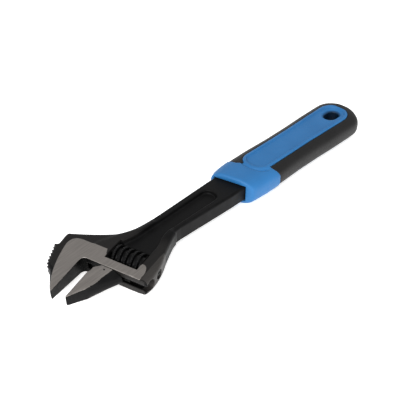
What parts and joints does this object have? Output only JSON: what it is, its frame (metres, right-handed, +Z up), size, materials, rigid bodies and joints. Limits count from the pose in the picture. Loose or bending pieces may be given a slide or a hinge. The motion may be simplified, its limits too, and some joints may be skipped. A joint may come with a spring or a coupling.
{
  "type": "adjustable wrench",
  "caption": "Adjustable wrench with a forged steel body, an offset head, a sliding jaw moved by a thumb worm, and a two-part moulded grip with a hanging hole.",
  "frame": {"origin": "under the middle of the wrench's box, on the plane that its grip rests on as it lies on its side", "axes": "+X from the jaws to the butt of the grip, +Y towards the fixed jaw's side, +Z up through the side faces"},
  "size_m": [0.2596, 0.0624, 0.0186],
  "materials": {
    "forged_steel": "black phosphate coating over forged steel, satin",
    "ground_steel": "finely ground, warm grey",
    "oiled_steel": "blackened and oiled",
    "spring_steel": "bright drawn wire",
    "blue_moulding": "hard plastic, satin, mid blue",
    "black_moulding": "soft plastic, matt, black"
  },
  "bodies": {
    "frame": {"body": "forged_steel", "worm_pin": "oiled_steel", "worm_spring": "spring_steel", "grip_hard": "blue_moulding", "grip_soft": "black_moulding"},
    "jaw": {"movable_jaw": "ground_steel"},
    "adjuster": {"worm": "oiled_steel"}
  },
  "joints": [
    {"name": "jaw_slide", "type": "slide", "parent": "frame", "child": "jaw", "axis": [0.2588, -0.9659, 0], "range_m": [-0.009, 0.019]},
    {"name": "worm_spin", "type": "hinge", "parent": "frame", "child": "adjuster", "pos_m": [-0.08419, -0.00879, 0.0093], "axis": [-0.2588, 0.9659, 0], "range_deg": [-853, 1801]}
  ],
  "couplings": [
    {"joint": "worm_spin", "follows": "jaw_slide", "rad_per_m": 1653.5}
  ]
}
